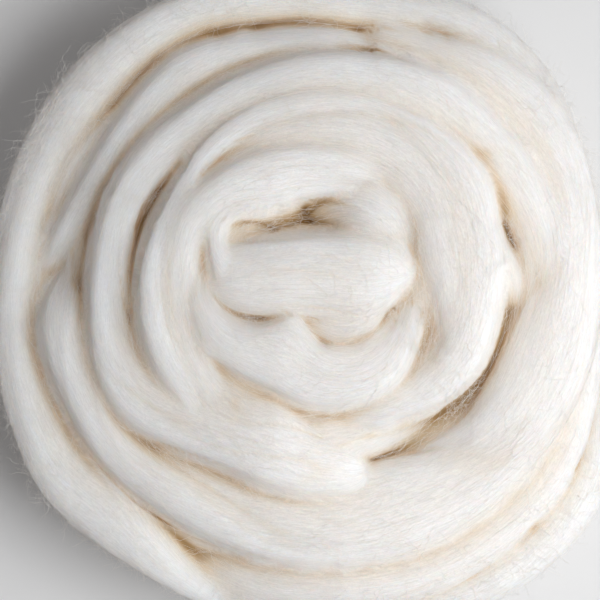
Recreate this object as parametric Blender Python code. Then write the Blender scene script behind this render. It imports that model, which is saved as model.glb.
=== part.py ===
"""A coil of combed wool roving: one long soft sliver laid round and round into a domed nest.

The coil is one solid, because it is one strand. Its turns are the rounded ridges of the
solid: each one runs round the nest, rises over its neighbours and dives under them again,
and the strand's first stretch is doubled over in the middle, beside a small hollow.

Sizes are in millimetres until the mesh is made. Bearings are in degrees, anticlockwise
from +X as seen from above. The origin is the middle of the coil, on its flat underside.
"""
from collections import namedtuple
from math import pi

import bmesh
import bpy
import numpy as np

NODE = "roving_coil"
METRES = 0.001

# How thick a turn is from crest to floor, against how wide it is.
FLATNESS = 0.68
# A turn is this much wider than the band that shows, its edges tucked under the next turns.
TUCK = 1.15
# Distance between the rounded beads that a turn is drawn with.
BEAD_PITCH = 2.5

# The point inside the coil that every spot of its surface can be seen from.
HEART_HEIGHT = 14.0
# Segments round the coil, and rings from the top of the dome to the middle of the base.
ROUND_SEGMENTS = 104
RINGS = 42
# The dome that the rings are spread over: radius, height and share of the rings so far.
DOME = (
    (0.0, 84.0, 0.00),
    (60.0, 80.0, 0.29),
    (96.0, 68.0, 0.48),
    (122.0, 50.0, 0.66),
    (134.0, 26.0, 0.83),
    (120.0, 0.0, 0.95),
    (0.0, 0.0, 1.00),
)
# The packed middle of the coil, under all the turns: its radius, middle height and depth.
CORE_RADIUS = 108.0
CORE_MIDDLE = 18.0
CORE_HALF_HEIGHT = 40.0
# Passes that round off the steps between turns, as soft wool does, and their strength.
SOFTEN_PASSES = 1
SOFTEN_FACTOR = 0.35

# Each turn: the pole that its bearings are taken about, its first and last bearing, and
# then, at even steps from end to end, the radius of its middle line about the pole, half
# the width of the band that shows, and the height of its crest over the floor.
Turn = namedtuple("Turn", "name pole bearings radius half_width crest")

TURNS = (
    # The doubled start of the strand, in the middle.
    Turn("centre_fold", (0, 26), (342, 104), (42, 22, 17, 17, 24, 33, 28, 16, 13),
         (12, 17, 17, 17, 15, 8, 4, 4, 3), (80, 84, 84, 84, 83, 80, 78, 76, 74)),
    Turn("fan", (22, 10), (124, 21), (24, 23, 23, 24), (4, 9, 8, 5), (66, 78, 77, 69)),
    Turn("tongue", (14, 6), (217, 338), (25, 19, 19, 20, 22), (4, 7, 8, 7, 4), (70, 76, 78, 77, 70)),
    Turn("hollow_floor", (0, 0), (125, 55), (36, 33, 37), (9, 13, 9), (68, 68, 68)),
    # Rings, from the middle outwards.
    Turn("ring_1", (0, 0), (7, -202), (46, 44, 39, 29, 24, 25, 32, 41),
         (4, 8, 11, 12, 12, 10, 6, 3), (74, 80, 82, 83, 82, 81, 77, 68)),
    Turn("ring_2", (0, 0), (42, 234), (58, 52, 50, 53, 47, 45, 50),
         (4, 8, 10, 10, 8, 7, 5), (72, 79, 81, 81, 79, 76, 66)),
    Turn("ring_3_shaded", (0, 0), (130, -31), (59, 65, 70, 67, 60, 56),
         (4, 7, 9, 9, 8, 5), (68, 73, 75, 78, 77, 68)),
    Turn("ring_3_right", (0, 0), (70, -113), (84, 80, 76, 69, 56, 46, 45),
         (3, 9, 9, 9, 8, 5, 4), (68, 76, 78, 77, 73, 68, 63)),
    Turn("ring_3_left", (0, 0), (76, 226), (81, 75, 68, 62, 60, 57),
         (3, 4, 5, 6, 6, 4), (72, 74, 75, 77, 77, 65)),
    Turn("ring_4", (0, 0), (207, 4), (81, 79, 80, 82, 90, 94, 96, 92),
         (6, 7, 9, 9, 11, 12, 11, 4), (66, 70, 71, 71, 71, 70, 67, 56)),
    Turn("ring_5", (0, 0), (178, 71), (105, 94, 101, 105, 106),
         (4, 9, 9, 7, 4), (48, 60, 61, 61, 58)),
    Turn("ring_5_right", (0, 0), (18, -56), (122, 101, 91, 78), (5, 10, 8, 4), (50, 60, 63, 52)),
    Turn("wedge", (0, 0), (72, 11), (112, 115, 118, 114), (4, 12, 14, 6), (54, 61, 61, 52)),
    Turn("front_band", (0, 0), (190, 292), (80, 72, 59, 69), (6, 11, 15, 12), (62, 73, 77, 64)),
    Turn("broad_band", (0, 0), (170, 365), (88, 92, 87, 90, 98, 107, 115),
         (4, 9, 13, 17, 16, 11, 6), (54, 62, 64, 68, 67, 63, 54)),
    # Lower turns that show in the gaps between the rings.
    Turn("gap_west", (0, 0), (196, 268), (47, 46, 44), (9, 12, 9), (67, 70, 67)),
    Turn("gap_south_east", (0, 0), (8, -80), (92, 84, 72), (7, 11, 8), (60, 60, 62)),
    # The outermost turns.
    Turn("rim_north_west", (0, 0), (183, 84), (104, 112, 117, 119, 116), (6, 12, 13, 11, 6),
         (44, 52, 54, 53, 50)),
    Turn("rim_north", (0, 0), (105, 53), (114, 114, 118, 124), (4, 6, 7, 5), (52, 56, 57, 50)),
    Turn("rim_north_east", (0, 0), (88, 12), (114, 126, 128, 114), (6, 9, 8, 5), (48, 52, 51, 44)),
    Turn("rim_east", (0, 0), (18, -116), (108, 115, 120, 114, 102), (5, 8, 10, 8, 5), (44, 51, 54, 55, 48)),
    Turn("rim_south_east", (0, 0), (340, 244), (117, 132, 123, 108), (6, 9, 10, 6), (40, 45, 48, 44)),
    Turn("rim_west", (0, 0), (176, 268), (108, 110, 110, 116), (6, 9, 13, 9), (46, 52, 52, 46)),
    Turn("rim_loop", (0, 0), (0, 360), (111, 121, 128, 119, 123, 119, 111, 119, 116, 119, 131, 123, 111),
         (10, 10), (38, 40, 42, 42, 42, 41, 38, 38, 38, 38, 38, 38, 38)),
    # The turns under those, which carry them and lie on the floor.
    Turn("bed_inner", (0, 0), (0, 360), (62, 64, 64, 64, 60, 62, 64, 66, 62), (24, 24), (62, 62)),
    Turn("bed_middle", (0, 0), (0, 360), (92, 98, 94, 94, 88, 92, 94, 102, 92), (22, 22), (48, 48)),
    Turn("bed_outer", (0, 0), (0, 360), (98, 110, 106, 106, 98, 102, 106, 116, 98), (20, 20), (26, 26)),
)


def spread(values, count):
    """Values at even stations, read at count even places along a smooth curve through them."""
    values = np.asarray(values, float)
    first = 2.0 * values[0] - values[1]
    last = 2.0 * values[-1] - values[-2]
    padded = np.concatenate(([first], values, [last]))
    place = np.linspace(0.0, len(values) - 1.0, count)
    station = np.minimum(place.astype(int), len(values) - 2)
    t = place - station
    a, b, c, d = (padded[station + step] for step in range(4))
    return b + 0.5 * t * ((c - a) + t * ((2 * a - 5 * b + 4 * c - d) + t * (3 * b - a - 3 * c + d)))


def beads_of(turn):
    """A turn as a row of flattened beads: their middles and their half sizes."""
    sweep = abs(np.radians(turn.bearings[1] - turn.bearings[0]))
    count = int(sweep * max(turn.radius) / BEAD_PITCH) + 2
    bearing = np.radians(spread(turn.bearings, count))
    radius = spread(turn.radius, count)
    half_width = TUCK * spread(turn.half_width, count)
    half_height = FLATNESS * half_width
    middle = np.stack([
        turn.pole[0] + radius * np.cos(bearing),
        turn.pole[1] + radius * np.sin(bearing),
        spread(turn.crest, count) - half_height,
    ], axis=1)
    return middle, np.stack([half_width, half_width, half_height], axis=1)


def sight_lines(directions):
    """Aim each direction of an even sphere at the dome, so the rings spread evenly over it."""
    ring_share = np.arccos(np.clip(directions[:, 2], -1.0, 1.0)) / pi
    dome_radius, dome_height, share = np.array(DOME).T
    reach = np.interp(ring_share, share, dome_radius)
    rise = np.interp(ring_share, share, dome_height) - HEART_HEIGHT
    bearing = np.arctan2(directions[:, 1], directions[:, 0])
    lines = np.stack([reach * np.cos(bearing), reach * np.sin(bearing), rise], axis=1)
    return lines / np.linalg.norm(lines, axis=1, keepdims=True)


def surface_distances(lines):
    """How far from the heart each line leaves the last bead that it passes through."""
    heart = np.array([0.0, 0.0, HEART_HEIGHT])
    core = (np.array([[0.0, 0.0, CORE_MIDDLE]]),
            np.array([[CORE_RADIUS, CORE_RADIUS, CORE_HALF_HEIGHT]]))
    farthest = np.zeros(len(lines))
    for middle, half_size in [core] + [beads_of(turn) for turn in TURNS]:
        start = (heart - middle) / half_size
        step = lines[:, None, :] / half_size
        # A bead is |start + distance * step| = 1, a quadratic in the distance.
        a = np.sum(step * step, axis=2)
        b = np.sum(step * start, axis=2)
        c = np.sum(start * start, axis=1) - 1.0
        root = b * b - a * c
        leaves = np.where(root > 0.0, (np.sqrt(np.maximum(root, 0.0)) - b) / a, 0.0)
        farthest = np.maximum(farthest, leaves.max(axis=1))
    return farthest


def coil_points(directions):
    """Points of the coil's surface along the sphere's directions, flat where it lies."""
    lines = sight_lines(directions)
    distance = surface_distances(lines)
    to_floor = np.full(len(lines), np.inf)
    down = lines[:, 2] < 0.0
    to_floor[down] = HEART_HEIGHT / -lines[down, 2]
    distance = np.minimum(distance, to_floor)
    points = lines * distance[:, None]
    points[:, 2] += HEART_HEIGHT
    points[to_floor <= distance, 2] = 0.0
    return points


def wool_material():
    """Combed wool in its natural white: rough, with no metal or gloss."""
    material = bpy.data.materials.new("natural_white_wool")
    material.use_nodes = True
    shader = material.node_tree.nodes["Principled BSDF"]
    shader.inputs["Base Color"].default_value = (0.83, 0.79, 0.74, 1.0)
    shader.inputs["Roughness"].default_value = 0.95
    shader.inputs["Metallic"].default_value = 0.0
    return material


def build_coil(collection):
    """An even sphere, moved out along its own directions to the surface of the turns."""
    mesh = bpy.data.meshes.new(NODE)
    form = bmesh.new()
    bmesh.ops.create_uvsphere(form, u_segments=ROUND_SEGMENTS, v_segments=RINGS, radius=1.0)
    directions = np.array([vert.co[:] for vert in form.verts])
    for vert, point in zip(form.verts, coil_points(directions)):
        vert.co = point * METRES
    for _ in range(SOFTEN_PASSES):
        raised = [vert for vert in form.verts if vert.co.z > 0.0]
        bmesh.ops.smooth_vert(form, verts=raised, factor=SOFTEN_FACTOR,
                              use_axis_x=True, use_axis_y=True, use_axis_z=True)
    base = [face for face in form.faces if all(vert.co.z == 0.0 for vert in face.verts)]
    bmesh.ops.dissolve_faces(form, faces=base, use_verts=True)
    bmesh.ops.recalc_face_normals(form, faces=form.faces)
    form.to_mesh(mesh)
    form.free()
    mesh.shade_smooth()
    mesh.materials.append(wool_material())
    coil = bpy.data.objects.new(NODE, mesh)
    collection.objects.link(coil)
    return coil


def main():
    for old in list(bpy.data.objects):
        bpy.data.objects.remove(old, do_unlink=True)
    collection = bpy.data.collections.new("wool_roving")
    bpy.context.scene.collection.children.link(collection)
    build_coil(collection)


main()
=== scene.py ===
# %% [markdown]
# # A coil of combed wool roving
#
# Combed roving, or top, is a soft sliver of wool with no twist in it. The fibres lie side by
# side, and the sliver is wound round and round into a nest that is sold by weight. This lesson
# dresses a plain solid of that nest. All the turns of the sliver are drawn as one closed skin
# with bundles of fibre in its surface, and loose fibres and curls are laid over it.

# %% Load the solid
from collections import namedtuple

import bpy
import numpy as np
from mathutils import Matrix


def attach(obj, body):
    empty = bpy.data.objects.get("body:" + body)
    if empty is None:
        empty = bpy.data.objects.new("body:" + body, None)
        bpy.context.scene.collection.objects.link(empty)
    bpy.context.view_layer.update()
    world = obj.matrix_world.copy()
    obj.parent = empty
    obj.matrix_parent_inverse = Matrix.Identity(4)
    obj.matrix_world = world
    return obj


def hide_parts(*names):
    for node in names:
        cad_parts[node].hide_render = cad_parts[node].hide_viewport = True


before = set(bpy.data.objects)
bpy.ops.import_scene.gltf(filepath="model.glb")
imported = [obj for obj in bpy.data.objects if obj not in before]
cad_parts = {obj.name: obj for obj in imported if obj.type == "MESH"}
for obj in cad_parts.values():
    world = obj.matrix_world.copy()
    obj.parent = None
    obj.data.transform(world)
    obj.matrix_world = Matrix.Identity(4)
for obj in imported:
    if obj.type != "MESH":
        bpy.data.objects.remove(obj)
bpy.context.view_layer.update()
METRES = 0.001  # the tables and arrays below are in millimetres
rng = np.random.default_rng(11)

# %% [markdown]
# ## The turns
#
# A turn is one round of the sliver, or the part of a round that shows. Every turn has a row in
# one table. It is followed by its bearing round a pole, so its middle line is only a list of
# radii at even steps. Two more lists give half the width of the band that shows, and the height
# of the crest over the floor. A curve object could hold the same path, but arrays are easier to
# put noise and fibres on later.

# %% A row for each turn
# The pole is in millimetres, the bearings are degrees anticlockwise from +X, and a list in a
# row has one value for each even step from the first bearing to the last.
Turn = namedtuple("Turn", "name pole bearings radius half_width crest")

TURNS = (
    # The start of the sliver, doubled over in the middle, and the small pieces round it.
    Turn("centre_fold", (4, -190), (101.5, 78.6),
         (201, 200.3, 200, 199.9, 200.2, 200.3, 200.6, 201.8, 204.5),
         (10, 11.5, 13, 14, 15, 15, 15, 14, 12), (80, 82, 83, 84, 84, 84, 84, 83, 81)),
    Turn("fold_rim", (-15, 22), (250, 48),
         (15, 16, 17.5, 18.4, 19, 17.8, 16, 15, 17, 21), (5, 6, 5, 3.5, 3, 2.5, 2.5, 2.5, 2.5, 2),
         (76, 80, 81, 81, 81, 80, 80, 79, 77, 72)),
    Turn("fan", (18, 8), (122, 12), (27, 28, 28.5, 28.5, 28, 26, 24), (7, 10, 10.5, 10, 8, 5.5, 3),
         (65, 70, 77, 80, 79, 76, 70)),
    Turn("tongue", (16, 30), (240, 299),
         (40, 38, 39, 38.3, 36), (4, 6.5, 9, 7.5, 5), (74, 78, 80, 80, 77)),
    Turn("hollow_floor", (0, 0), (152, 70), (40, 39, 36, 35), (8, 9, 9, 9), (78, 73, 66, 61)),
    # Rings, from the middle outwards.
    Turn("ring_1", (0, 0), (8, -204),
         (45, 43, 41, 35, 27, 23, 25, 33.5, 39, 42), (3, 6, 9.5, 12, 15.5, 14.5, 13.5, 9, 4.5, 2.5),
         (70, 79, 82, 83, 83, 83, 82, 81, 79, 74)),
    Turn("ring_2", (0, 0), (44, 246), (60, 56, 52.5, 52, 54, 53.5, 50, 48, 48, 50, 55),
         (4, 7, 9, 9.5, 7.5, 6.5, 6.5, 6, 5.5, 5, 4), (72, 79, 81, 82, 82, 81, 80, 78, 77, 75, 71)),
    Turn("ring_3", (0, 0), (236, -108),
         (61, 57, 58, 59, 59.5, 61, 62.5, 65.5, 70, 74, 77, 80, 82,
          82, 81, 76.5, 73, 70, 67, 62, 56, 51, 47, 44, 44),
         (4, 5, 6, 6, 6, 5, 4, 4, 4, 4, 4, 4, 4, 6, 8, 8.5, 8.5, 8.5, 9, 8, 6, 5, 4, 3, 2),
         (71, 75, 77, 79, 79, 79, 78, 78, 77, 76, 75, 75, 75,
          77, 79, 80, 80, 79, 77, 75, 73, 70, 68, 65, 60)),
    Turn("ring_3_shaded", (0, 0), (138, -32),
         (58, 61, 64, 66, 68, 69, 67.5, 64, 63, 64, 65), (2, 4, 6, 7, 9, 9.5, 9, 10, 8, 5.5, 3),
         (64, 72, 75, 76, 77, 78, 80, 80, 79, 76, 66)),
    Turn("slit", (0, 0), (30, -7), (81, 82, 84, 84), (2, 4, 4, 2), (64, 69, 68, 54)),
    Turn("ring_4", (0, 0), (-20, 292),
         (80, 92, 99, 98, 95, 95, 92, 89, 85, 82, 81.5, 80.5, 78, 77, 77, 71, 63, 60, 61, 66, 72),
         (2, 6, 8.5, 10.5, 12, 11, 10, 9, 9, 8.5, 7.5, 7, 7, 8, 9, 14, 15, 14, 15, 13, 9),
         (50, 60, 66, 69, 70, 72, 72, 72, 72, 72, 72, 72, 72, 71, 70, 71, 74, 77, 78, 74, 69)),
    Turn("ring_5", (0, 0), (184, 66),
         (108, 99, 94, 97, 103, 104, 104, 107), (2, 6, 8, 8, 9, 6, 5, 3),
         (38, 56, 60, 62, 62, 62, 62, 52)),
    Turn("wedge", (0, 0), (76, -62), (110, 112, 115, 117, 116, 109, 104, 101, 97, 88, 82),
         (5, 9, 13, 14, 11, 12, 14, 14, 12, 8, 4), (57, 60, 62, 62, 62, 64, 66, 67, 66, 61, 52)),
    Turn("broad_band", (0, 0), (165, 370), (88, 95, 94, 93, 90, 90, 92, 94, 100, 107, 115, 120),
         (2, 10, 10, 10, 12, 14, 15, 17, 14, 10, 6, 3),
         (48, 61, 62, 62, 65, 67, 68, 67, 65, 63, 57, 44)),
    # Lower turns that show in the gaps between the rings.
    Turn("gap_north_west", (0, 0), (80, 215),
         (58, 60, 60, 57, 56), (8, 8, 8, 8, 6), (70, 71, 71, 71, 60)),
    Turn("gap_ring_3", (0, 0), (132, 244),
         (70, 69, 67, 67, 68, 66, 62), (6, 6, 6, 6, 6, 6, 5), (67, 65, 67, 69, 69, 69, 66)),
    Turn("gap_fold", (4, -190), (101, 78), (195, 195), (14, 14), (75, 75)),
    Turn("gap_nose", (0, 0), (125, 205), (41, 41), (4, 4), (74, 74)),
    Turn("gap_west", (0, 0), (190, 285), (50, 48, 47, 47), (8, 11, 11, 8), (68, 73, 74, 71)),
    Turn("gap_east", (0, 0), (66, -62),
         (50, 51, 50, 53, 56), (11, 11, 9, 9, 7), (73, 74, 74, 72, 69)),
    Turn("gap_south_east", (0, 0), (14, -88),
         (88, 86, 82, 76, 66), (6, 11, 12, 12, 9), (60, 60, 57, 55, 60)),
    Turn("gap_south", (0, 0), (258, 334), (55, 57, 61, 66), (7, 9, 9, 6), (70, 71, 61, 54)),
    Turn("gap_outer", (0, 0), (215, 60),
         (88, 86, 86, 92, 98, 100), (7, 9, 9, 8, 7, 6), (52, 57, 58, 58, 57, 50)),
    # The outermost turns.
    Turn("rim_west", (0, 0), (53, 256),
         (131, 125, 121, 122, 124, 123, 120, 118, 117, 116, 117, 118, 119, 116, 120, 127),
         (3, 7, 9, 9, 9, 9, 10, 10, 9, 8, 8, 10, 11, 12, 8, 3),
         (44, 53, 55, 55, 56, 56, 55, 54, 53, 53, 53, 53, 54, 56, 55, 48)),
    Turn("rim_west_inner", (0, 0), (174, 120),
         (109, 105, 106, 112), (2, 4, 4, 3), (38, 52, 52, 36)),
    Turn("rim_east", (0, 0), (92, -118),
         (118, 125, 130, 128, 120, 116, 118, 122, 122, 120, 116, 113, 107),
         (4, 6, 9, 8, 6, 7, 8, 9, 9, 9, 8, 9, 7),
         (40, 50, 53, 52, 52, 53, 55, 57, 59, 60, 59, 54, 45)),
    Turn("rim_south_east", (0, 0), (344, 242),
         (125, 137, 138, 132, 126, 124, 120), (4, 10, 10, 10, 10, 8, 4),
         (36, 46, 50, 51, 51, 48, 40)),
    Turn("rim_loop", (0, 0), (-8, 366),
         (113, 120, 127, 123, 125, 124, 118, 118, 122, 117, 122, 132, 123, 113), (9, 9),
         (36, 42, 47, 47, 46, 46, 44, 42, 40, 38, 40, 40, 38, 36)),
    # The turns under those, which carry them down to the floor.
    Turn("bed_rim", (0, 0), (20, 388),
         (106, 107, 106, 106, 104, 104, 102, 103, 107, 106), (9, 9), (50, 50)),
    Turn("bed_inner", (0, 0), (0, 368),
         (60, 62, 64, 64, 62, 60, 62, 64, 66, 62), (24, 24), (55, 55)),
    Turn("bed_middle", (0, 0), (40, 410),
         (98, 94, 94, 88, 92, 94, 102, 92, 98), (21, 21), (45, 45)),
    Turn("bed_outer", (0, 0), (100, 470),
         (106, 106, 98, 102, 106, 116, 100, 110, 106), (19, 19), (26, 26)),
)
print(len(TURNS), "turns")

# %% Reading a short list as a smooth curve
def spread(values, share):
    """Values at even stations, read at shares of the way from the first to the last.

    Between two stations the curve is the cubic that passes through both, with each slope
    half the step between the stations on either side.
    """
    values = np.asarray(values, float)
    first = 2.0 * values[0] - values[1]
    last = 2.0 * values[-1] - values[-2]
    padded = np.concatenate(([first], values, [last]))
    place = np.clip(share, 0.0, 1.0) * (len(values) - 1.0)
    station = np.minimum(place.astype(int), len(values) - 2)
    t = place - station
    a, b, c, d = (padded[station + step] for step in range(4))
    return b + 0.5 * t * ((c - a) + t * ((2 * a - 5 * b + 4 * c - d) + t * (3 * b - a - 3 * c + d)))


def unit(vectors):
    """Vectors scaled to a length of one."""
    return vectors / np.maximum(np.linalg.norm(vectors, axis=-1, keepdims=True), 1e-9)


# %% [markdown]
# ## The section of a turn
#
# A turn that lies among others is wide and flat, with a round top, so its section is an
# oval. A circle would stand too high, and a profile drawn by hand for each turn would be slow
# to change. The oval is drawn along the radius from the pole, which makes it easy to say where
# on a turn any spot lies. Each end is closed with a round nose, so no cut end shows.

# %% Where a turn runs and how wide it is
FLATNESS = 0.35  # half the height of a section against half its width
# The same for the outermost turns and the ones below them, which nothing squeezes flat.
ROUNDER = {"rim": 0.62, "bed": 0.60}
TUCK = 0.30  # how far the inner edge of a turn lies under the next one in, in half widths
NOSE = 1.0  # length of a rounded end against the half width there
LEAST_NOSE = 2.0  # the half width that a very narrow end is rounded for
Course = namedtuple("Course", "radius half tall level length")


def course(turn, share):
    """A turn at shares of its length.

    It gives the radius, half the width and height of the section, the height of its middle
    over the floor, and the length of the whole turn. Near an end the section closes along a
    quarter of a circle.
    """
    flatness = ROUNDER.get(turn.name.split("_")[0], FLATNESS)
    visible = spread(turn.half_width, share)
    full = (1.0 + 0.5 * TUCK) * visible
    length = np.radians(abs(turn.bearings[1] - turn.bearings[0])) * np.mean(turn.radius)
    nose = NOSE * np.maximum(full, LEAST_NOSE)
    to_end = np.clip(np.minimum(share, 1.0 - share) * length / nose, 0.0, 1.0)
    # A section is never quite closed, so that its width can be divided by.
    closing = np.sqrt(1.0 - (1.0 - np.maximum(to_end, 1e-4)) ** 2)
    inward = 0.5 * TUCK * visible * closing if turn.pole == (0, 0) else 0.0
    return Course(spread(turn.radius, share) - inward, full * closing, flatness * full * closing,
                  spread(turn.crest, share) - flatness * full, length)


def mean_half(turn):
    """Half the width of a turn's section, averaged along the turn."""
    return course(turn, np.linspace(0.1, 0.9, 9)).half.mean()


def laps(turn, bearing):
    """The shares at which a turn passes a bearing: once, or twice if it is over a full round."""
    start, stop = turn.bearings
    gone = (np.degrees(bearing) - start) * np.sign(stop - start) % 360.0
    rounds = (0.0, 360.0) if abs(stop - start) > 360.0 else (0.0,)
    return [(gone + extra) / abs(stop - start) for extra in rounds]


widths = [2.0 * float(mean_half(turn)) for turn in TURNS]
print("turns are", round(min(widths)), "to", round(max(widths)), "mm wide")

# %% [markdown]
# ## How the turns settle together
#
# Separate tubes would meet in hard cuts, and light that enters the wool of one could not
# come out of the next. Real sliver is soft: where two turns touch, fibres of both fill the
# corner. So the coil is one closed skin. Its top is a height map of all the turns, its side
# is a map of distances from a ring inside the rim, and both are softened.

# %% The map of the top
MAP_STEP = 0.5  # side of a cell
MAP_HALF = 160.0  # half the side of the map
HEART_HEIGHT = 62.0  # lowest level of the wool inside the innermost rings
HEART_RADIUS = 45.0
GROWTH = 16  # cells past the rim that take the rim's height, so that it isn't blurred away


def top_map():
    """The highest turn over each spot of a square grid on the floor.

    An oval section is highest in its middle. To each side its height over the middle line
    falls as the square root of one minus the square of the way to the edge.
    """
    line = np.arange(-MAP_HALF, MAP_HALF, MAP_STEP)
    x, y = np.meshgrid(line, line)
    top = np.where(np.hypot(x, y) < HEART_RADIUS, HEART_HEIGHT, 0.0)
    for turn in TURNS:
        reach = np.hypot(x - turn.pole[0], y - turn.pole[1])
        bearing = np.arctan2(y - turn.pole[1], x - turn.pole[0])
        for share in laps(turn, bearing):
            inside = share <= 1.0
            path = course(turn, share[inside])
            across = np.clip((reach[inside] - path.radius) / path.half, -1.0, 1.0)
            height = path.level + path.tall * np.sqrt(1.0 - across ** 2)
            top[inside] = np.maximum(top[inside], np.where(np.abs(across) < 1.0, height, 0.0))
    return top


def grown(level, steps):
    """A map whose empty cells take the height of full ones next to them, step by step."""
    for _ in range(steps):
        near = [np.roll(level, shift, (0, 1)) for shift in ((0, 1), (1, 0), (0, -1), (-1, 0))]
        level = np.where(level == 0.0, np.maximum.reduce(near), level)
    return level


tops = grown(top_map(), GROWTH)
print("highest turn:", round(float(tops.max()), 1), "mm over the floor")

# %% The map of the side
PIVOT_RADIUS = 104.0  # radius of the ring inside the rim, from which rays fan out
PIVOT_HEIGHT = 20.0
COLUMNS = 560  # rays round the coil
FAN_ROWS = 59
FAN_STEP = 2.2  # degrees from one row of rays to the next, the first row going straight up
FAN_SPARE = 8  # rows past the fan's ends, so that softening has something to work with
LEAST_REACH = 8.0  # where a ray meets no turn
around = np.arange(COLUMNS) * 2.0 * np.pi / COLUMNS
fan = np.radians(90.0 - FAN_STEP * np.arange(-FAN_SPARE, FAN_ROWS + FAN_SPARE))


def fan_map():
    """How far the wool reaches from the pivot ring, at each angle of the fan and each bearing.

    A ray and an oval section meet where A t^2 + 2 B t + C = 0, with the middle of the section
    as the origin and its height stretched until it is round.
    """
    reach = np.full((len(fan), COLUMNS), LEAST_REACH)
    out = np.cos(fan)[:, None]
    for turn in TURNS:
        if turn.pole != (0, 0):
            continue
        for share in laps(turn, around):
            inside = share <= 1.0
            path = course(turn, share[inside])
            stretch = path.half / path.tall
            up = np.sin(fan)[:, None] * stretch
            x = PIVOT_RADIUS - path.radius
            z = (PIVOT_HEIGHT - path.level) * stretch
            a = out ** 2 + up ** 2
            b = x * out + z * up
            c = x ** 2 + z ** 2 - path.half ** 2
            far = (-b + np.sqrt(np.maximum(b * b - a * c, 0.0))) / a
            reach[:, inside] = np.maximum(reach[:, inside], np.where(b * b > a * c, far, 0.0))
    return reach


fans = fan_map()
print("farthest turn:", round(float(fans.max()), 1), "mm from the pivot ring")

# %% Softening and reading the maps
SIDE_SOFTNESS = 1.5  # the side is softened more, because its rays meet the turns at a slant
SIDE_REACH, SIDE_RADIUS = 34.0, 130.0  # where a cell of the side's map is measured
MAP_STEPS = (MAP_STEP, MAP_STEP)
FAN_STEPS = (np.radians(FAN_STEP) * SIDE_REACH, 2.0 * np.pi * SIDE_RADIUS / COLUMNS)


def blurred(level, width, steps):
    """A map softened by a bell curve, which is one factor for each of its frequencies."""
    down = np.fft.fftfreq(level.shape[0], steps[0])[:, None]
    across = np.fft.rfftfreq(level.shape[1], steps[1])[None, :]
    factor = np.exp(-2.0 * (np.pi * width) ** 2 * (down ** 2 + across ** 2))
    return np.fft.irfft2(np.fft.rfft2(level) * factor, level.shape)


def read_map(level, x, y):
    """A square map's height at spots, blended from the four nearest cells."""
    place_x, place_y = (x + MAP_HALF) / MAP_STEP, (y + MAP_HALF) / MAP_STEP
    column, row = place_x.astype(int), place_y.astype(int)
    u, v = place_x - column, place_y - row
    near = level[row, column] * (1 - u) + level[row, column + 1] * u
    far = level[row + 1, column] * (1 - u) + level[row + 1, column + 1] * u
    return near * (1 - v) + far * v


print("cells of the side's map are", np.round(FAN_STEPS, 2), "mm")

# %% The skin before its bundles of fibre
TOP_ROWS = 115  # from the middle of the coil to over the pivot ring
kept = slice(FAN_SPARE + 1, len(fan) - FAN_SPARE)  # the fan without its spare rows
top_reach = (np.arange(TOP_ROWS) + 1.0) * PIVOT_RADIUS / TOP_ROWS


def base_skin(width):
    """The skin for one width of softening: rows of the top from the middle out, then the fan.

    A point of the top is its place on the map and the height there. A point of the side is
    the pivot ring plus the reach of its ray, which stops at the floor.
    """
    x, y = top_reach[:, None] * np.cos(around), top_reach[:, None] * np.sin(around)
    top = np.stack([x, y, read_map(blurred(tops, width, MAP_STEPS), x, y)], axis=-1)
    far = blurred(fans, SIDE_SOFTNESS * width, FAN_STEPS)[kept]
    slope = fan[kept][:, None]
    to_floor = PIVOT_HEIGHT / np.maximum(-np.sin(slope), 1e-3)
    far = np.where(slope < 0.0, np.minimum(far, to_floor), far)
    reach = PIVOT_RADIUS + far * np.cos(slope)
    rise = PIVOT_HEIGHT + far * np.sin(slope)
    side = np.stack([reach * np.cos(around), reach * np.sin(around), rise], axis=-1)
    return np.concatenate([top, side])


def ways_out(points):
    """The way out at each point of a grid that runs from the middle out and anticlockwise."""
    down = np.gradient(points, axis=0)
    side = np.roll(points, -1, axis=1) - np.roll(points, 1, axis=1)
    return unit(np.cross(down, side))


SETTLE = 1.65  # width of the bell curve that fills the corners between turns
settled = base_skin(SETTLE)
outward = ways_out(settled)
print("skin of", settled.shape[0], "by", settled.shape[1], "points")

# %% How deep each point is buried
# The burial is how far a point lies under its surroundings, in millimetres. Wide hollows and
# the narrow lines between turns each have their part in it. The material turns it into painted
# shade, warmer and darker the deeper a point lies.
SURROUND, HOLLOWS = 7.0, 0.7  # width of the curve that gives the surroundings, and its part
NEAR, LINES = 2.4, 0.5  # the same for the narrow lines
above = HOLLOWS * base_skin(SURROUND) + LINES * base_skin(NEAR) - (HOLLOWS + LINES) * settled
burial = np.sum(above * outward, axis=-1)
print("deepest", round(float(burial.max()), 1), "mm")

# %% [markdown]
# ## Bundles of fibre
#
# The surface of a sliver isn't smooth. Its fibres gather into flat lobes a few millimetres
# wide, the lobes into finer bundles, and all of them run along the turn and wander slightly.
# Noise that is far longer than it is wide gives each of these, at its own size. A bump map
# would be cheaper, but real relief also shows at the edge of the coil and in its shadows. The
# noise is laid along each turn, so every point of the skin first has to know its turn.

# %% Which turn a point belongs to
NO_TURN = 1e3  # gap at a bearing that a turn doesn't pass
Place = namedtuple("Place", "gap along angle")


def places(turn, points):
    """Where points lie on a turn, once for each of its laps.

    gap is the distance to its surface, along the distance down it, and angle goes round the
    section from the side away from the pole, over the crest.
    """
    x, y = points[..., 0] - turn.pole[0], points[..., 1] - turn.pole[1]
    found = []
    for share in laps(turn, np.arctan2(y, x)):
        path = course(turn, share)
        across = np.hypot(x, y) - path.radius
        over = (points[..., 2] - path.level) * path.half / path.tall
        gap = np.hypot(across, over) - path.half
        gap = np.where(share <= 1.0, gap, NO_TURN)
        found.append(Place(gap, share * path.length, np.arctan2(over, across)))
    return found


middle_gaps = [float(places(turn, settled[:1])[0].gap.min()) for turn in TURNS]
print("turn in the middle of the coil:", TURNS[int(np.argmin(middle_gaps))].name)

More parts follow.
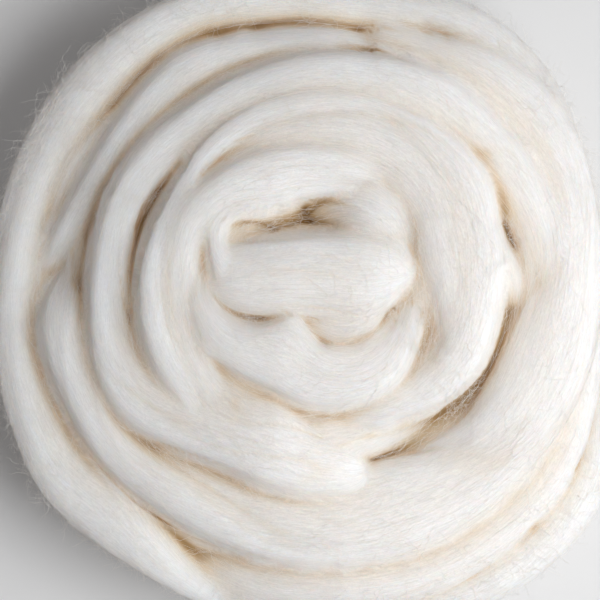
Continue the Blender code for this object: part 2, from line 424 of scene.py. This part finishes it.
# %% Noise for the relief
LATTICE_ROWS = 64


def drift(along, round_way, count):
    """Noise from -1 to 1: random values at whole steps, joined by eased slopes.

    along and round_way are in steps, and round_way comes back to its start after count steps.
    """
    lattice = rng.uniform(-1.0, 1.0, (LATTICE_ROWS, count))
    row = np.floor(along).astype(int)
    column = np.floor(round_way).astype(int)
    u = along - row
    v = round_way - column
    u = u * u * (3.0 - 2.0 * u)
    v = v * v * (3.0 - 2.0 * v)
    here, there = row % LATTICE_ROWS, (row + 1) % LATTICE_ROWS
    left, right = column % count, (column + 1) % count
    near = lattice[here, left] * (1.0 - v) + lattice[here, right] * v
    far = lattice[there, left] * (1.0 - v) + lattice[there, right] * v
    return near * (1.0 - u) + far * u


# Each layer of relief: its length along the turn, its width round it, and its height. The
# finest real bundles are a few fibres wide, and the last layer is as coarse as shows here.
RELIEF = ((60.0, 9.0, 0.95), (40.0, 4.5, 0.50), (24.0, 2.3, 0.20))
GIRTH = 6.0  # way round a section against half its width
LEAST_BUNDLES = 4
CROSSING_LENGTH = 260.0  # length in which the most slanted bundles go once round their turn
WANDER, WANDER_LENGTH = 0.015, 17.0
SPLIT_WIDTH, SPLIT_LENGTH, SPLIT_DEPTH = 7.0, 55.0, 0.55
SPLIT_NARROWNESS = 0.17  # a split is where its noise is about this near to zero
OPENING_LENGTH, OPENINGS = 40.0, 5  # length of an open stretch, and such stretches round a turn
print("layers of relief from", RELIEF[0][1], "to", RELIEF[-1][1], "mm wide")

# %% Relief laid over the skin
def relief(turn, place):
    """Height of the fibre bundles of a turn, and from 0 to 1 how open its splits are.

    The layers lean as the fibres slowly cross the turn. A split is a thin line where one more
    noise passes zero, and it opens and closes along its length.
    """
    girth = GIRTH * mean_half(turn)
    share = place.angle / (2.0 * np.pi) + rng.uniform(-1.0, 1.0) / CROSSING_LENGTH * place.along
    share = share + WANDER * np.sin(place.along / WANDER_LENGTH + rng.uniform(0.0, 6.0))
    height = 0.0
    for length, width, rise in RELIEF:
        count = max(LEAST_BUNDLES, int(girth / width))
        height = height + rise * drift(place.along / length + 1.0, share * count, count)
    count = max(LEAST_BUNDLES, int(girth / SPLIT_WIDTH))
    noise = drift(place.along / SPLIT_LENGTH + 1.0, share * count, count)
    opening = drift(place.along / OPENING_LENGTH + 1.0, share * OPENINGS, OPENINGS)
    split = np.exp(-(noise / SPLIT_NARROWNESS) ** 2) * np.clip(2.0 * opening, 0.0, 1.0)
    return height - SPLIT_DEPTH * split, split


BLEND = 0.8  # over how many millimetres the bundles of one turn give way to the next turn's
# An open split also gets painted shade: its burial is raised, so the ramp darkens it.
SPLIT_SHADE_BURIAL = 1.3  # what an open split adds to the burial, in millimetres
CLEARANCE = 0.05  # least height of the skin over the floor, so that they share no plane
gaps, heights, splits = [], [], []
for turn in TURNS:
    for place in places(turn, settled):
        gaps.append(place.gap)
        height, split = relief(turn, place)
        heights.append(height)
        splits.append(split)
gaps, heights, splits = np.array(gaps), np.array(heights), np.array(splits)
weight = np.exp(-(gaps - gaps.min(axis=0)) / BLEND)
bundles = (weight * heights).sum(axis=0) / weight.sum(axis=0)
burial = burial + SPLIT_SHADE_BURIAL * (weight * splits).sum(axis=0) / weight.sum(axis=0)
skin = settled + outward * bundles[..., None]
skin[..., 2] = np.maximum(skin[..., 2], CLEARANCE)
outward = ways_out(skin)
print("bundles from", round(float(bundles.min()), 2), "to", round(float(bundles.max()), 2), "mm")

# %% [markdown]
# ## The wool as a material
#
# Combed merino top is washed, carded and combed wool. Its fibre is clear to pale cream and
# about 0.02 mm thick. Massed together it scatters nearly all the light, with a soft sheen and
# no sharp gloss. Light that enters a turn comes out again far from where it went in, which
# softens every shadow. Plain white paint would look like plaster, so the shader is a rough
# white with a strong subsurface. Its colour is painted warmer and darker where a point is
# buried deeper: painted shade in the hollows and between the turns, where light bounces among
# the fibres.
# Streaks along the fibres are far longer than they are wide.

# %% Colours and nodes
def colour(code):
    """An sRGB hex colour as the linear values that Blender's sockets take."""
    srgb = np.array([int(code[place:place + 2], 16) for place in (1, 3, 5)]) / 255.0
    linear = np.where(srgb <= 0.04045, srgb / 12.92, ((srgb + 0.055) / 1.055) ** 2.4)
    return (*linear, 1.0)


def add(tree, kind, settings=None, **inputs):
    """A new node with its settings, and its inputs set to a value or linked to a socket.

    An input is called by its name with _ for a space, or by its number as i0, i1 and so on.
    """
    node = tree.nodes.new(kind)
    for name, value in (settings or {}).items():
        setattr(node, name, value)
    for name, value in inputs.items():
        numbered = name[0] == "i" and name[1:].isdigit()
        socket = node.inputs[int(name[1:]) if numbered else name.replace("_", " ")]
        if isinstance(value, bpy.types.NodeSocket):
            tree.links.new(value, socket)
        else:
            socket.default_value = value
    return node


print("middle grey, #808080, is", round(float(colour("#808080")[0]), 3), "as a linear value")

# %% Combed wool
# Wool colour, then painted shade: colour at each depth of burial in millimetres, darker deeper.
WOOL_AND_SHADE_COLOURS = ((-1.0, "#F4F3F2"), (1.0, "#F2EDE6"), (2.5, "#E7D7BF"), (4.0, "#C3A070"),
                 (5.5, "#916C40"))
SCATTER = 0.026  # metres that red light goes inside the wool, and green and blue less
# Two noises over the fibre map: cells to the millimetre along and across, roughness and
# distortion. A fibre of 0.02 mm is too fine to show, so a streak is 8 mm long and 0.6 mm wide,
# and the crimped grain 2 mm by 0.6 mm.
STREAKS = ((0.12, 1.8, 1.0), 0.65, 0.6)
CRIMP = ((0.5, 1.6, 1.0), 0.7, 1.5)
# The middle of a noise's range, and how much darker and lighter it makes the wool.
TINT = {"From_Min": 0.3, "From_Max": 0.7, "To_Min": 0.90, "To_Max": 1.05}
FIBRE_BUMP = 0.00022  # depth of that grain in metres


def wool(name, streaks):
    """Combed wool top: matt fibre with a soft sheen, and painted warm shade in its crevices."""
    material = bpy.data.materials.new(name)
    material.use_nodes = True
    tree = material.node_tree
    shader = tree.nodes["Principled BSDF"]
    shader.inputs["Roughness"].default_value = 0.9
    shader.inputs["Specular IOR Level"].default_value = 0.15
    shader.inputs["Sheen Weight"].default_value = 0.2
    shader.inputs["Sheen Roughness"].default_value = 0.6
    shader.inputs["Subsurface Weight"].default_value = 0.95 if streaks else 0.0
    shader.inputs["Subsurface Radius"].default_value = (1.0, 0.79, 0.64)
    shader.inputs["Subsurface Scale"].default_value = SCATTER
    low, high = WOOL_AND_SHADE_COLOURS[0][0], WOOL_AND_SHADE_COLOURS[-1][0]
    # The burial picks a colour from the ramp: the wool's own colour on top, painted shade deeper.
    depth = add(tree, "ShaderNodeAttribute", {"attribute_name": "burial"})
    share = add(tree, "ShaderNodeMapRange", Value=depth.outputs["Fac"], From_Min=low,
                From_Max=high)
    ramp = add(tree, "ShaderNodeValToRGB", Fac=share.outputs[0])
    stops = ramp.color_ramp.elements
    for millimetres, _ in WOOL_AND_SHADE_COLOURS[1:-1]:
        stops.new((millimetres - low) / (high - low))
    for stop, (_, code) in zip(stops, WOOL_AND_SHADE_COLOURS):
        stop.color = colour(code)
    base = ramp.outputs[0]
    if streaks:
        place = add(tree, "ShaderNodeUVMap", {"uv_map": "fibre_mm"})
        grains = []
        for scale, roughness, distortion in (STREAKS, CRIMP):
            spot = add(tree, "ShaderNodeMapping", Vector=place.outputs[0], Scale=scale)
            grain = add(tree, "ShaderNodeTexNoise", Vector=spot.outputs[0], Scale=1.0,
                        Detail=3.0, Roughness=roughness, Distortion=distortion)
            tint = add(tree, "ShaderNodeMapRange", Value=grain.outputs[0], **TINT)
            shade = add(tree, "ShaderNodeVectorMath", {"operation": "SCALE"}, i0=base,
                        Scale=tint.outputs[0])
            base = shade.outputs[0]
            grains.append(grain.outputs[0])
        both = add(tree, "ShaderNodeMath", {"operation": "ADD"}, i0=grains[0], i1=grains[1])
        bump = add(tree, "ShaderNodeBump", Height=both.outputs[0], Strength=0.6,
                   Distance=FIBRE_BUMP)
        tree.links.new(bump.outputs[0], shader.inputs["Normal"])
    tree.links.new(base, shader.inputs["Base Color"])
    return material


combed_wool = wool("combed_merino_top", True)
# A single fibre has no wool behind it to scatter light, and is too thin for streaks.
loose_wool = wool("loose_merino_fibre", False)
print("materials:", combed_wool.name, "and", loose_wool.name)

# %% [markdown]
# ## The skin as a mesh
#
# The skin is a grid that is closed round the coil, so it needs only quads between its rows,
# and a fan of triangles at the top and under the foot. The lower fan is a very flat cone,
# with its point on the floor and its rim 2 to 10 mm over it. A remesh of the turns would also
# give one skin, but it would lose the map along the fibres that the streaks follow. Two flat
# maps go with the mesh: distances along and round each turn, and one without overlaps for
# baking.

# %% A piece from points and faces
def add_piece(name, points, faces, material, depths, maps):
    """A finished piece in metres: its mesh, its material, its burial and its UV maps."""
    mesh = bpy.data.meshes.new(name)
    mesh.from_pydata((points * METRES).tolist(), [], faces)
    mesh.shade_smooth()
    mesh.materials.append(material)
    burial_values = mesh.attributes.new("burial", "FLOAT", "POINT").data
    burial_values.foreach_set("value", depths.astype(np.float32))
    for map_name, corners in maps.items():
        layer = mesh.uv_layers.new(name=map_name).data
        layer.foreach_set("uv", corners.astype(np.float32).ravel())
    piece = bpy.data.objects.new(name, mesh)
    bpy.context.scene.collection.objects.link(piece)
    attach(piece, "root")
    return piece


# %% Faces and bake map of the skin
def skin_faces(rows):
    """Quads between neighbouring rows, then a fan of triangles that closes each end."""
    row, column = np.meshgrid(np.arange(rows - 1), np.arange(COLUMNS), indexing="ij")
    step = (column + 1) % COLUMNS
    quads = np.stack([row * COLUMNS + column, (row + 1) * COLUMNS + column,
                      (row + 1) * COLUMNS + step, row * COLUMNS + step], axis=-1).reshape(-1, 4)
    ring = np.arange(COLUMNS)
    turned = (ring + 1) % COLUMNS
    middle = np.stack([np.full(COLUMNS, rows * COLUMNS), ring, turned], axis=1)
    foot = np.stack([(rows - 1) * COLUMNS + turned, (rows - 1) * COLUMNS + ring,
                     np.full(COLUMNS, rows * COLUMNS + 1)], axis=1)
    return quads, middle, foot


def skin_bake(quads, rows):
    """The skin unrolled: its columns across, its rows upwards, and the two fans as end strips."""
    bands = rows + 1.0
    row, column = np.divmod(quads, COLUMNS)
    column[:, 2:] = column[:, :1] + 1
    quad_map = np.stack([column / COLUMNS, (row + 1.0) / bands], axis=-1)
    step = np.arange(COLUMNS)[:, None] / COLUMNS
    flat = np.zeros((COLUMNS, 1))
    middle_map = np.stack([step + np.array([0.5, 0.0, 1.0]) / COLUMNS,
                           flat + np.array([0.0, 1.0, 1.0]) / bands], axis=-1)
    foot_map = np.stack([step + np.array([1.0, 0.0, 0.5]) / COLUMNS,
                         flat + np.array([bands - 1.0, bands - 1.0, bands]) / bands], axis=-1)
    return np.concatenate([part.reshape(-1, 2) for part in (quad_map, middle_map, foot_map)])


rows = len(skin)
quads, middle, foot = skin_faces(rows)
print("triangles in the skin:", 2 * len(quads) + len(middle) + len(foot))

# %% The coil
NEXT_TURN = 997.0  # shifts the streaks of each turn, so that no two turns share theirs
# The middle of the foot is given a deep burial, so the underside is painted in the darkest shade.
FOOT_SHADE_DEPTH = 9.0  # burial in the middle of the foot


def fibre_map(corners):
    """Distance along and round the nearest turn, in millimetres, for the corners of each face.

    A face takes one turn for all its corners, and its angles are kept within half a round of
    the first, so that no face is stretched over a seam.
    """
    centres = corners.mean(axis=1)
    best = np.full(len(centres), 1e6)
    chosen = np.zeros((*corners.shape[:2], 2))
    for number, turn in enumerate(TURNS):
        width = mean_half(turn)
        for centre, place in zip(places(turn, centres), places(turn, corners)):
            nearer = centre.gap < best
            best[nearer] = centre.gap[nearer]
            rounds = np.round((place.angle - place.angle[:, :1]) / (2.0 * np.pi))
            angle = place.angle - rounds * 2.0 * np.pi
            found = np.stack([place.along + NEXT_TURN * number, angle * width], axis=-1)
            chosen[nearer] = found[nearer]
    return chosen


ends = np.array([skin[0].mean(axis=0), [0.0, 0.0, CLEARANCE]])
points = np.concatenate([skin.reshape(-1, 3), ends])
maps = {"OFBake": skin_bake(quads, rows),
        "fibre_mm": np.concatenate([fibre_map(points[faces]).reshape(-1, 2)
                                    for faces in (quads, middle, foot)])}
depths = np.concatenate([burial.ravel(), burial[0].mean(keepdims=True), [FOOT_SHADE_DEPTH]])
coil_faces = quads.tolist() + middle.tolist() + foot.tolist()
coil = add_piece("combed_coil", points, coil_faces, combed_wool, depths, maps)
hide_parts("roving_coil")
print("coil of", len(points), "points")

# %% [markdown]
# ## Loose fibres on the surface
#
# Over the bundles lie single fibres. A hair curve object would be simplest, but a mesh keeps
# its shape in any program. Each fibre is a thin three-sided tube, worked out for all fibres
# at once. Its path follows a turn, and is then read from the grid of the skin. A real fibre
# is 0.02 mm thick, which is too fine to show. It is drawn 0.04 to 0.08 mm thick where it lies
# flat, and up to 0.15 mm where it crosses a groove or stands free.

# %% Reading the skin between its points
def read_grid(grid, row, column):
    """A grid of points or ways read at rows and columns that needn't be whole.

    It blends the four nearest points, and stays just inside the last row.
    """
    row = np.clip(row, 0.0, len(grid) - 1.001)
    i, j = row.astype(int), np.floor(column).astype(int)
    u, v = (row - i)[..., None], (column - j)[..., None]
    near = grid[i, j % COLUMNS] * (1 - v) + grid[i, (j + 1) % COLUMNS] * v
    far = grid[i + 1, j % COLUMNS] * (1 - v) + grid[i + 1, (j + 1) % COLUMNS] * v
    return near * (1 - u) + far * u


def column_at(x, y):
    """The column of the grid, from 0 to COLUMNS, at the bearing of a spot."""
    return np.arctan2(y, x) % (2.0 * np.pi) * COLUMNS / (2.0 * np.pi)


def on_skin(points):
    """The spots of the skin over points near it, and the ways out there."""
    reach = np.hypot(points[..., 0], points[..., 1])
    slope = np.arctan2(points[..., 2] - PIVOT_HEIGHT, reach - PIVOT_RADIUS)
    row = np.where(reach < PIVOT_RADIUS, reach * TOP_ROWS / PIVOT_RADIUS - 1.0,
                   TOP_ROWS - 1.0 + (90.0 - np.degrees(slope)) / FAN_STEP)
    column = column_at(points[..., 0], points[..., 1])
    return read_grid(skin, row, column), read_grid(outward, row, column)


top_spot = on_skin(np.array([[0.0, 0.0, 90.0]]))[0][0]
print("the skin near the middle is at", np.round(top_spot, 1), "mm")

# %% Paths of the fibres that lie on the skin
FIBRE_POINTS = 8
LYING_LENGTHS = (8.0, 30.0)
LONGEST_SHARE = 0.8  # of the length of a short turn
END_GAP = 0.02  # share of a turn that is left free at each end
EDGE_GAP = 0.08  # share of the upper half of a section that is left free at each edge
NARROWEST = 3.0  # a smaller half width counts as this, so that a fibre doesn't sway far round it
ROOT, LEAST_LIFT, LIFT = -0.1, 0.18, 0.10  # height of the ends, and of the middle over them
HIDDEN = 3.0  # a path that is farther from the skin runs under another turn


def lying_fibres(turn, count):
    """Paths of fibres that hug a turn: their points, and the way out at each point.

    A path starts at a random share and angle of the section, and sways round it by about a
    millimetre. Its ends are in the skin, and between them it rises as a power of half a sine
    wave.
    """
    t = np.linspace(0.0, 1.0, FIBRE_POINTS)[None, :]
    length = rng.uniform(*LYING_LENGTHS, (count, 1))
    total = course(turn, np.zeros(1)).length
    stretch = np.minimum(length / total, LONGEST_SHARE)
    free = 1.0 - 2.0 * END_GAP - stretch
    share = END_GAP + rng.uniform(0.0, 1.0, (count, 1)) * free + t * stretch
    share = share.clip(0.0, 1.0)
    path = course(turn, share)
    angle = rng.uniform(EDGE_GAP, 1.0 - EDGE_GAP, (count, 1)) * np.pi
    sway = rng.normal(0.0, 1.0, (count, 1)) * t
    sway = sway + 0.6 * rng.normal(0.0, 1.0, (count, 1)) * np.sin(np.pi * t)
    angle = angle + sway / path.half.clip(NARROWEST)
    bearing = np.radians(turn.bearings[0] + share * (turn.bearings[1] - turn.bearings[0]))
    reach = path.radius + path.half * np.cos(angle)
    ghost = np.stack([turn.pole[0] + reach * np.cos(bearing),
                      turn.pole[1] + reach * np.sin(bearing),
                      path.level + path.tall * np.sin(angle)], axis=-1)
    spots, ways = on_skin(ghost)
    hidden = np.linalg.norm(spots - ghost, axis=-1)[:, FIBRE_POINTS // 2] > HIDDEN
    height = LEAST_LIFT + rng.exponential(LIFT, (count, 1))
    rise = ROOT + height * np.sin(np.pi * t) ** 0.6
    return (spots + ways * rise[..., None])[~hidden], ways[~hidden]


# %% Fibres as thin tubes
CORNERS = np.radians((90.0, 210.0, 330.0))
THIN_END = 0.35  # least share of the thickness, to which half a sine wave is added
TIP = 0.06  # how far inside that half wave the ends are


def tubes(paths, ways, thickness):
    """Thin closed tubes along paths: three corners round each point, joined to the next three.

    A corner is the path plus the radius times a mix of two ways across it, by the cosine and
    the sine of the corner's angle. The radius falls towards both ends.
    """
    count, steps = paths.shape[:2]
    forward = unit(np.gradient(paths, axis=1))
    side = unit(np.cross(forward, ways))
    over = np.cross(side, forward)
    swell = np.sin(np.pi * np.linspace(TIP, 1.0 - TIP, steps)) ** 0.5
    taper = THIN_END + (1.0 - THIN_END) * swell
    radius = 0.5 * thickness[:, None, None] * taper[None, :, None]
    corners = [paths + radius * (side * np.cos(at) + over * np.sin(at)) for at in CORNERS]
    points = np.stack(corners, axis=2)
    index = np.arange(count * steps * 3).reshape(count, steps, 3)
    here, there = index[:, :-1], index[:, 1:]
    walls = np.stack([here, there, np.roll(there, -1, 2), np.roll(here, -1, 2)], axis=-1)
    ends = np.concatenate([index[:, 0, :], index[:, -1, ::-1]])
    return points.reshape(-1, 3), walls.reshape(-1, 4).tolist() + ends.tolist()


# %% A bake map for the fibres
CELL_MARGIN = 0.05
START_FACE = np.array([[0.05, 0.05], [0.05, 0.3], [0.1, 0.2]])
STOP_FACE = np.array([[0.95, 0.05], [0.95, 0.3], [0.9, 0.2]])


def bake_cells(count, steps):
    """A bake map with one small cell for each fibre: its length across, its three sides up."""
    side = int(np.ceil(np.sqrt(count)))
    fibre, step, face = np.meshgrid(np.arange(count), np.arange(steps - 1), np.arange(3),
                                    indexing="ij")
    cell = np.stack([fibre % side, fibre // side], axis=-1)[..., None, :]
    across = (step[..., None] + np.array([0, 1, 1, 0])) / (steps - 1)
    upward = (face[..., None] + np.array([0, 0, 1, 1])) / 3.0
    inside = np.stack([across, upward], axis=-1) * (1.0 - 2.0 * CELL_MARGIN) + CELL_MARGIN
    corner = np.stack([np.arange(count) % side, np.arange(count) // side], axis=-1)[:, None, :]
    parts = ((cell + inside) / side, (corner + START_FACE) / side, (corner + STOP_FACE) / side)
    return np.concatenate([part.reshape(-1, 2) for part in parts])


def add_fibres(name, paths, ways, thickness):
    """Many fibres as one piece."""
    points, faces = tubes(paths, ways, thickness)
    cells = bake_cells(*paths.shape[:2])
    return add_piece(name, points, faces, loose_wool, np.zeros(len(points)), {"OFBake": cells})


def add_batch(name, paths, ways, per_piece, thickness):
    """Fibres as pieces of an even size, each with a share from every part of the coil."""
    order = rng.permutation(len(paths))
    pieces = int(np.ceil(len(paths) / per_piece))
    for number in range(pieces):
        some = order[number::pieces]
        drawn = rng.uniform(*thickness, len(some))
        add_fibres(f"{name}_{number + 1}", paths[some], ways[some], drawn)
    print(name, len(paths), "fibres in", pieces, "pieces")


# %% The lying fibres
FIBRES_PER_CM2 = 7.0
FEWEST = 4
MM2_PER_CM2 = 100.0
batches = []
for turn in TURNS:
    if turn.name.startswith("bed"):
        continue
    upper_girth = 0.5 * GIRTH * mean_half(turn)
    area = course(turn, np.zeros(1)).length * upper_girth / MM2_PER_CM2
    batches.append(lying_fibres(turn, int(area * FIBRES_PER_CM2) + FEWEST))
paths, ways = (np.concatenate(parts) for parts in zip(*batches))
add_batch("fibres", paths, ways, per_piece=4200, thickness=(0.04, 0.08))

# %% [markdown]
# ## Fuzz
#
# Carding never lays every fibre flat. Short ones cross the bundles at all angles and bridge
# the grooves between turns, and many stand out from the rim as a haze. They are crimped, a
# wave every few millimetres. Particle hair could give them, but it would need to be turned
# into a mesh in the end. They are drawn straight on the grid of the skin, which is quick, and
# raised from a hull that dips little into the grooves.

# %% How loose fibres run
ROWS_PER_MM = 1.05
HULL_WIDTH, HULL_SHARE = 3.2, 0.85
LEAST_RADIUS = 12.0  # nearer the middle, steps round the coil are counted as if at this radius
dips = ((base_skin(HULL_WIDTH) - skin) * outward).sum(axis=-1)
hull = skin + outward * (HULL_SHARE * np.maximum(dips, 0.0))[..., None]
Fuzz = namedtuple("Fuzz", "steps lengths lean crimp wave rise")


def loose_fibres(row, column, fuzz):
    """Crimped paths from spots on the grid: their points, and the way out at each point.

    The heading is the angle from the direction round the coil. It starts at a random lean,
    bends evenly and swings with the crimp, and the path is the sum of its cosines and sines.
    rise gives the height over the hull at shares t of the length.
    """
    count = len(row)
    t = np.linspace(0.0, 1.0, fuzz.steps)[None, :]
    length = rng.uniform(*fuzz.lengths, (count, 1))
    heading = rng.normal(0.0, fuzz.lean, (count, 1)) + rng.normal(0.0, 0.5, (count, 1)) * t
    phase = t * length / fuzz.wave + rng.uniform(0.0, 1.0, (count, 1))
    swing = np.sin(2.0 * np.pi * phase)
    heading = heading + fuzz.crimp * rng.uniform(0.5, 1.5, (count, 1)) * swing
    radius = np.linalg.norm(read_grid(skin, row, column)[:, :2], axis=-1)
    radius = np.maximum(radius, LEAST_RADIUS)[:, None]
    side = rng.choice((-1.0, 1.0), (count, 1))
    along = np.cumsum(np.cos(heading), axis=1) * length / fuzz.steps * side
    across = np.cumsum(np.sin(heading), axis=1) * length / fuzz.steps
    rows_there = row[:, None] + across * ROWS_PER_MM
    columns_there = column[:, None] + along * COLUMNS / (2.0 * np.pi * radius)
    ways = read_grid(outward, rows_there, columns_there)
    lifted = ways * fuzz.rise(t, count)[..., None]
    return read_grid(hull, rows_there, columns_there) + lifted, ways


# Depth of an end in the wool, least height of the free part over it, and the mean of what a
# random fibre has on top of that.
ARCH_ROOT, ARCH_LEAST, ARCH_MEAN = -0.15, 0.25, 0.25
FREE_ROOT, FREE_LEAST, FREE_MEAN = -0.4, 0.8, 1.9
FREE_MOST = 9.0


def low_arch(t, count):
    """Both ends in the wool and the middle just over it: a power of half a sine wave."""
    height = ARCH_LEAST + rng.exponential(ARCH_MEAN, (count, 1))
    return ARCH_ROOT + height * np.sin(np.pi * t) ** 0.7


def standing(t, count):
    """One end in the wool and the other free: a power of the share of the length."""
    height = FREE_LEAST + rng.exponential(FREE_MEAN, (count, 1))
    return FREE_ROOT + np.minimum(height, FREE_MOST) * t ** 0.8


print("the hull fills grooves by up to", round(float(dips.max() * HULL_SHARE), 1), "mm")

# %% Fibres that cross the grooves
CROSSING = 3200
LAST_ROW = TOP_ROWS + 30  # the lowest row of the rim that loose fibres start from
crossing_kind = Fuzz(10, (5.0, 18.0), lean=0.45, crimp=0.35, wave=5.0, rise=low_arch)
# The square root spreads the starts evenly over the area of the coil.
crossing_rows = np.sqrt(rng.uniform(0.0, 1.0, CROSSING)) * LAST_ROW
crossing_columns = rng.uniform(0.0, COLUMNS, CROSSING)
crossing = loose_fibres(crossing_rows, crossing_columns, crossing_kind)
add_batch("crossing_fibres", *crossing, per_piece=3400, thickness=(0.08, 0.15))

# %% The haze at the rim
HAZE = 5900
rim_rows = (TOP_ROWS + 13, LAST_ROW)  # from the shoulder of the rim to under its widest part
haze_kind = Fuzz(6, (3.0, 10.0), lean=0.7, crimp=0.5, wave=6.0, rise=standing)
haze_rows = rng.uniform(*rim_rows, HAZE)
haze_columns = rng.uniform(0.0, COLUMNS, HAZE)
haze = loose_fibres(haze_rows, haze_columns, haze_kind)
add_batch("rim_haze", *haze, per_piece=6000, thickness=(0.08, 0.13))

# %% Curls in the open gaps and wisps at the rim
# Where the sliver is pulled open: middle of each gap and half its width, in millimetres.
OPEN_GAPS = ((52, -14, 7), (50, -24, 5), (58, -44, 7), (66, -36, 6), (-57, 41, 5),
             (-12, 30, 6), (46, 28, 5), (-19, -9, 4), (34, -8, 4), (86, 22, 6))
PER_GAP, WISPS = 34, 300
RAGGED_COLUMNS, RAGGED_SHARE = (190.0, 290.0), 0.6  # the side of the rim with the most wisps
curl_kind = Fuzz(22, (9.0, 28.0), lean=1.2, crimp=0.8, wave=5.0, rise=standing)
curl_spots = np.concatenate([np.array(gap[:2]) + rng.normal(0.0, 0.6 * gap[2], (PER_GAP, 2))
                             for gap in OPEN_GAPS])
curl_rows = np.linalg.norm(curl_spots, axis=1) * TOP_ROWS / PIVOT_RADIUS - 1.0
curl_columns = column_at(curl_spots[:, 0], curl_spots[:, 1])
ragged = rng.uniform(0.0, 1.0, WISPS) < RAGGED_SHARE
wisp_columns = np.where(ragged, rng.uniform(*RAGGED_COLUMNS, WISPS),
                        rng.uniform(0.0, COLUMNS, WISPS))
wisp_rows = rng.uniform(*rim_rows, WISPS)
curls = loose_fibres(np.concatenate([curl_rows, wisp_rows]),
                     np.concatenate([curl_columns, wisp_columns]), curl_kind)
add_batch("curls", *curls, per_piece=3400, thickness=(0.07, 0.12))

# %% [markdown]
# ## Floor, light and camera
#
# White wool on a pale floor shows its form only through soft shade. A sky texture would light
# it evenly and flatten it, so one large lamp stands to the lower right, and a dim even fill
# keeps the hollows open. The camera looks straight down from far away, which keeps the rim
# from hiding behind the middle.

# %% Floor
# Matt white card scatters light evenly, and has no gloss in which the lamp would show.
FLOOR_HALF = 2.5
floor_corners = [(-FLOOR_HALF, -FLOOR_HALF, 0.0), (FLOOR_HALF, -FLOOR_HALF, 0.0),
                 (FLOOR_HALF, FLOOR_HALF, 0.0), (-FLOOR_HALF, FLOOR_HALF, 0.0)]
card = bpy.data.materials.new("matt_white_card")
card.use_nodes = True
card_shader = card.node_tree.nodes["Principled BSDF"]
card_shader.inputs["Base Color"].default_value = colour("#E0E1E2")
card_shader.inputs["Roughness"].default_value = 0.9
floor_mesh = bpy.data.meshes.new("floor")
floor_mesh.from_pydata(floor_corners, [], [(0, 1, 2, 3)])
floor_mesh.materials.append(card)
floor = bpy.data.objects.new("floor", floor_mesh)
bpy.context.scene.collection.objects.link(floor)
print("floor of", 2.0 * FLOOR_HALF, "m")

# %% Light
LAMP_WAY = np.array([0.70, -0.22, 1.02])
LAMP_DISTANCE = 1.15
spot = LAMP_WAY / np.linalg.norm(LAMP_WAY) * LAMP_DISTANCE
lamp_data = bpy.data.lights.new("window", "AREA")
lamp_data.size = 0.8
lamp_data.energy = 12.25
lamp = bpy.data.objects.new("window", lamp_data)
lamp.location = spot
lamp.rotation_euler = (np.arctan2(np.hypot(spot[0], spot[1]), spot[2]), 0.0,
                       np.arctan2(spot[1], spot[0]) + np.pi / 2)
bpy.context.scene.collection.objects.link(lamp)
world = bpy.data.worlds.new("studio")
world.use_nodes = True
fill = world.node_tree.nodes["Background"]
fill.inputs["Color"].default_value = (1.0, 0.965, 0.955, 1.0)
fill.inputs["Strength"].default_value = 0.26
bpy.context.scene.world = world
bpy.context.scene.view_settings.view_transform = "Standard"
print("lamp at", np.round(spot, 2), "m")

# %% Camera
FIELD = 0.240  # width of the view in metres, at mid height of the coil
MID_HEIGHT = 0.055
CAMERA_RISE = 1.5
SENSOR = 36.0
camera_data = bpy.data.cameras.new("camera")
camera_data.sensor_width = SENSOR
camera_data.lens = SENSOR * CAMERA_RISE / FIELD
camera = bpy.data.objects.new("camera", camera_data)
camera.location = (0.0, 0.0, MID_HEIGHT + CAMERA_RISE)
bpy.context.scene.collection.objects.link(camera)
bpy.context.scene.camera = camera
print("lens of", round(camera_data.lens), "mm")
